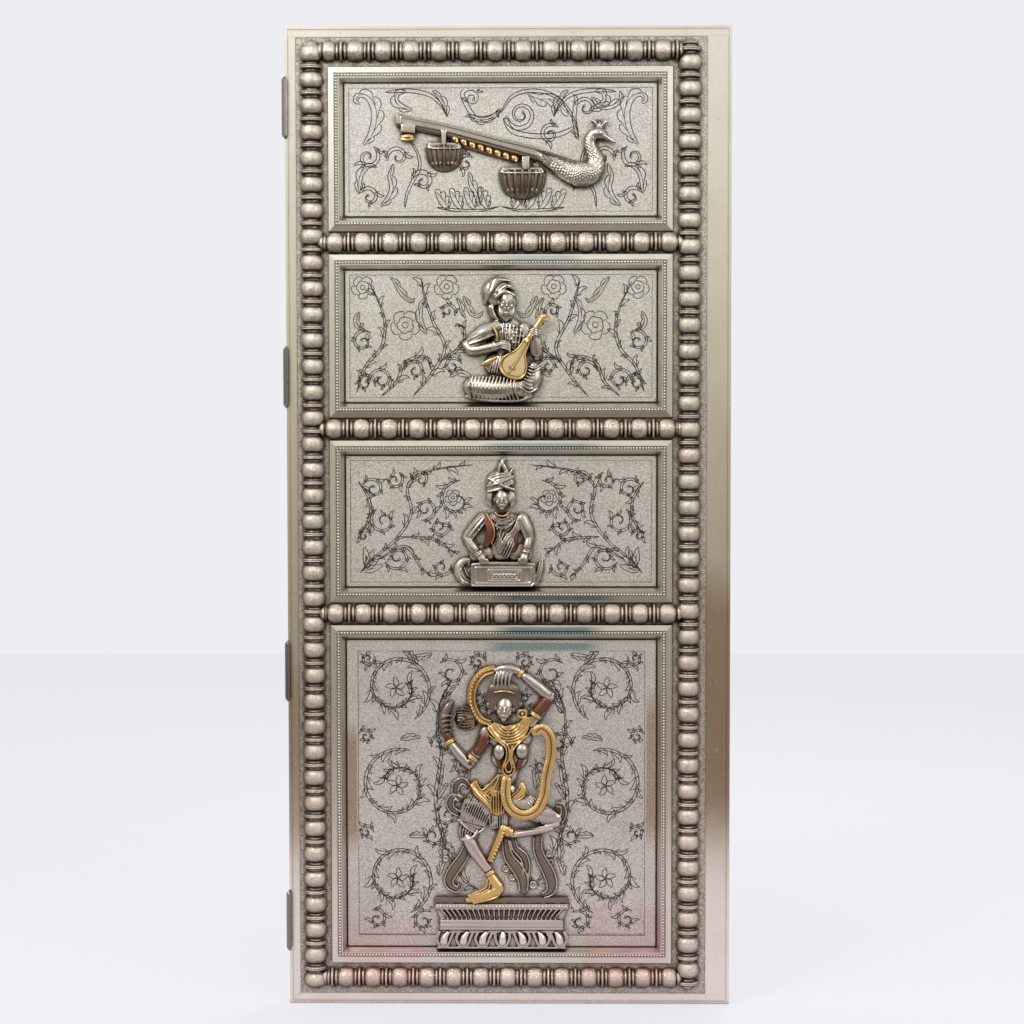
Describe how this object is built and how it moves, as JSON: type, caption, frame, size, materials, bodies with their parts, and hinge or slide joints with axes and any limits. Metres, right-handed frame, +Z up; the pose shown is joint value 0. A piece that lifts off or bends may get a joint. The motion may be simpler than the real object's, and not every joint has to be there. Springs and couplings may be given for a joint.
{
  "type": "carved temple door",
  "caption": "Hinged shrine door leaf of framed timber dressed in pressed white metal, with bead mouldings, engraved panels and relief musicians above a dancer.",
  "frame": {"origin": "on the lowest hinge, on the face of its frame plate that lies on the door post, midway between its two outer screw holes", "axes": "+X from the hinge edge to the lock edge, +Z up, the dressed front looks along -Y; the door is shut at rest"},
  "size_m": [0.9263, 0.063, 2.032],
  "materials": {
    "stile_and_rail_timber": "oiled hardwood, straight grain",
    "panel_board_timber": "oiled hardwood board",
    "border_strip": "rubbed white metal with small dents",
    "stippled_sheet": "stippled white metal",
    "engraved_sheet": "engraved scrollwork on a stippled ground",
    "panel_moulding": "bright band with a row of pearls",
    "bead_moulding": "burnished beads with brown antique patina",
    "relief_casting": "antiqued white metal, dark in the hollows",
    "gilt": "gilt on raised work",
    "rust_enamel": "rust red enamel",
    "hinge_metal": "plain steel butt hinge"
  },
  "bodies": {
    "post_hinges": {"hinge_1_frame_plate": "hinge_metal", "hinge_1_pin": "hinge_metal", "hinge_2_frame_plate": "hinge_metal", "hinge_2_pin": "hinge_metal", "hinge_3_frame_plate": "hinge_metal", "hinge_3_pin": "hinge_metal", "hinge_4_frame_plate": "hinge_metal", "hinge_4_pin": "hinge_metal"},
    "leaf": {"hinge_stile": "stile_and_rail_timber", "lock_stile": "stile_and_rail_timber", "bottom_rail": "stile_and_rail_timber", "lower_rail": "stile_and_rail_timber", "centre_rail": "stile_and_rail_timber", "upper_rail": "stile_and_rail_timber", "top_rail": "stile_and_rail_timber", "dancer_panel_board": "panel_board_timber", "dancer_panel_sheet": "engraved_sheet", "dancer_panel_frame": "panel_moulding", "harmonium_panel_board": "panel_board_timber", "harmonium_panel_sheet": "engraved_sheet", "harmonium_panel_frame": "panel_moulding", "lute_panel_board": "panel_board_timber", "lute_panel_sheet": "engraved_sheet", "lute_panel_frame": "panel_moulding", "veena_panel_board": "panel_board_timber", "veena_panel_sheet": "engraved_sheet", "veena_panel_frame": "panel_moulding", "hinge_stile_sheet": "stippled_sheet", "lock_stile_sheet": "stippled_sheet", "bottom_rail_sheet": "stippled_sheet", "lower_rail_sheet": "stippled_sheet", "centre_rail_sheet": "stippled_sheet", "upper_rail_sheet": "stippled_sheet", "top_rail_sheet": "stippled_sheet", "hinge_border": "border_strip", "lock_border": "border_strip", "top_border": "border_strip", "bottom_border": "border_strip", "hinge_upright_beads": "bead_moulding", "lock_upright_beads": "bead_moulding", "bottom_rail_beads": "bead_moulding", "lower_rail_beads": "bead_moulding", "centre_rail_beads": "bead_moulding", "upper_rail_beads": "bead_moulding", "top_rail_beads": "bead_moulding", "veena": "relief_casting", "lute_player": "relief_casting", "harmonium_player": "relief_casting", "dancer": "relief_casting", "pedestal": "relief_casting", "hinge_1_door_plate": "hinge_metal", "hinge_2_door_plate": "hinge_metal", "hinge_3_door_plate": "hinge_metal", "hinge_4_door_plate": "hinge_metal"}
  },
  "joints": [
    {"name": "door_swing", "type": "hinge", "parent": "post_hinges", "child": "leaf", "pos_m": [0.00375, -0.019, 0], "axis": [0, 0, -1], "range_deg": [0, 150]}
  ]
}
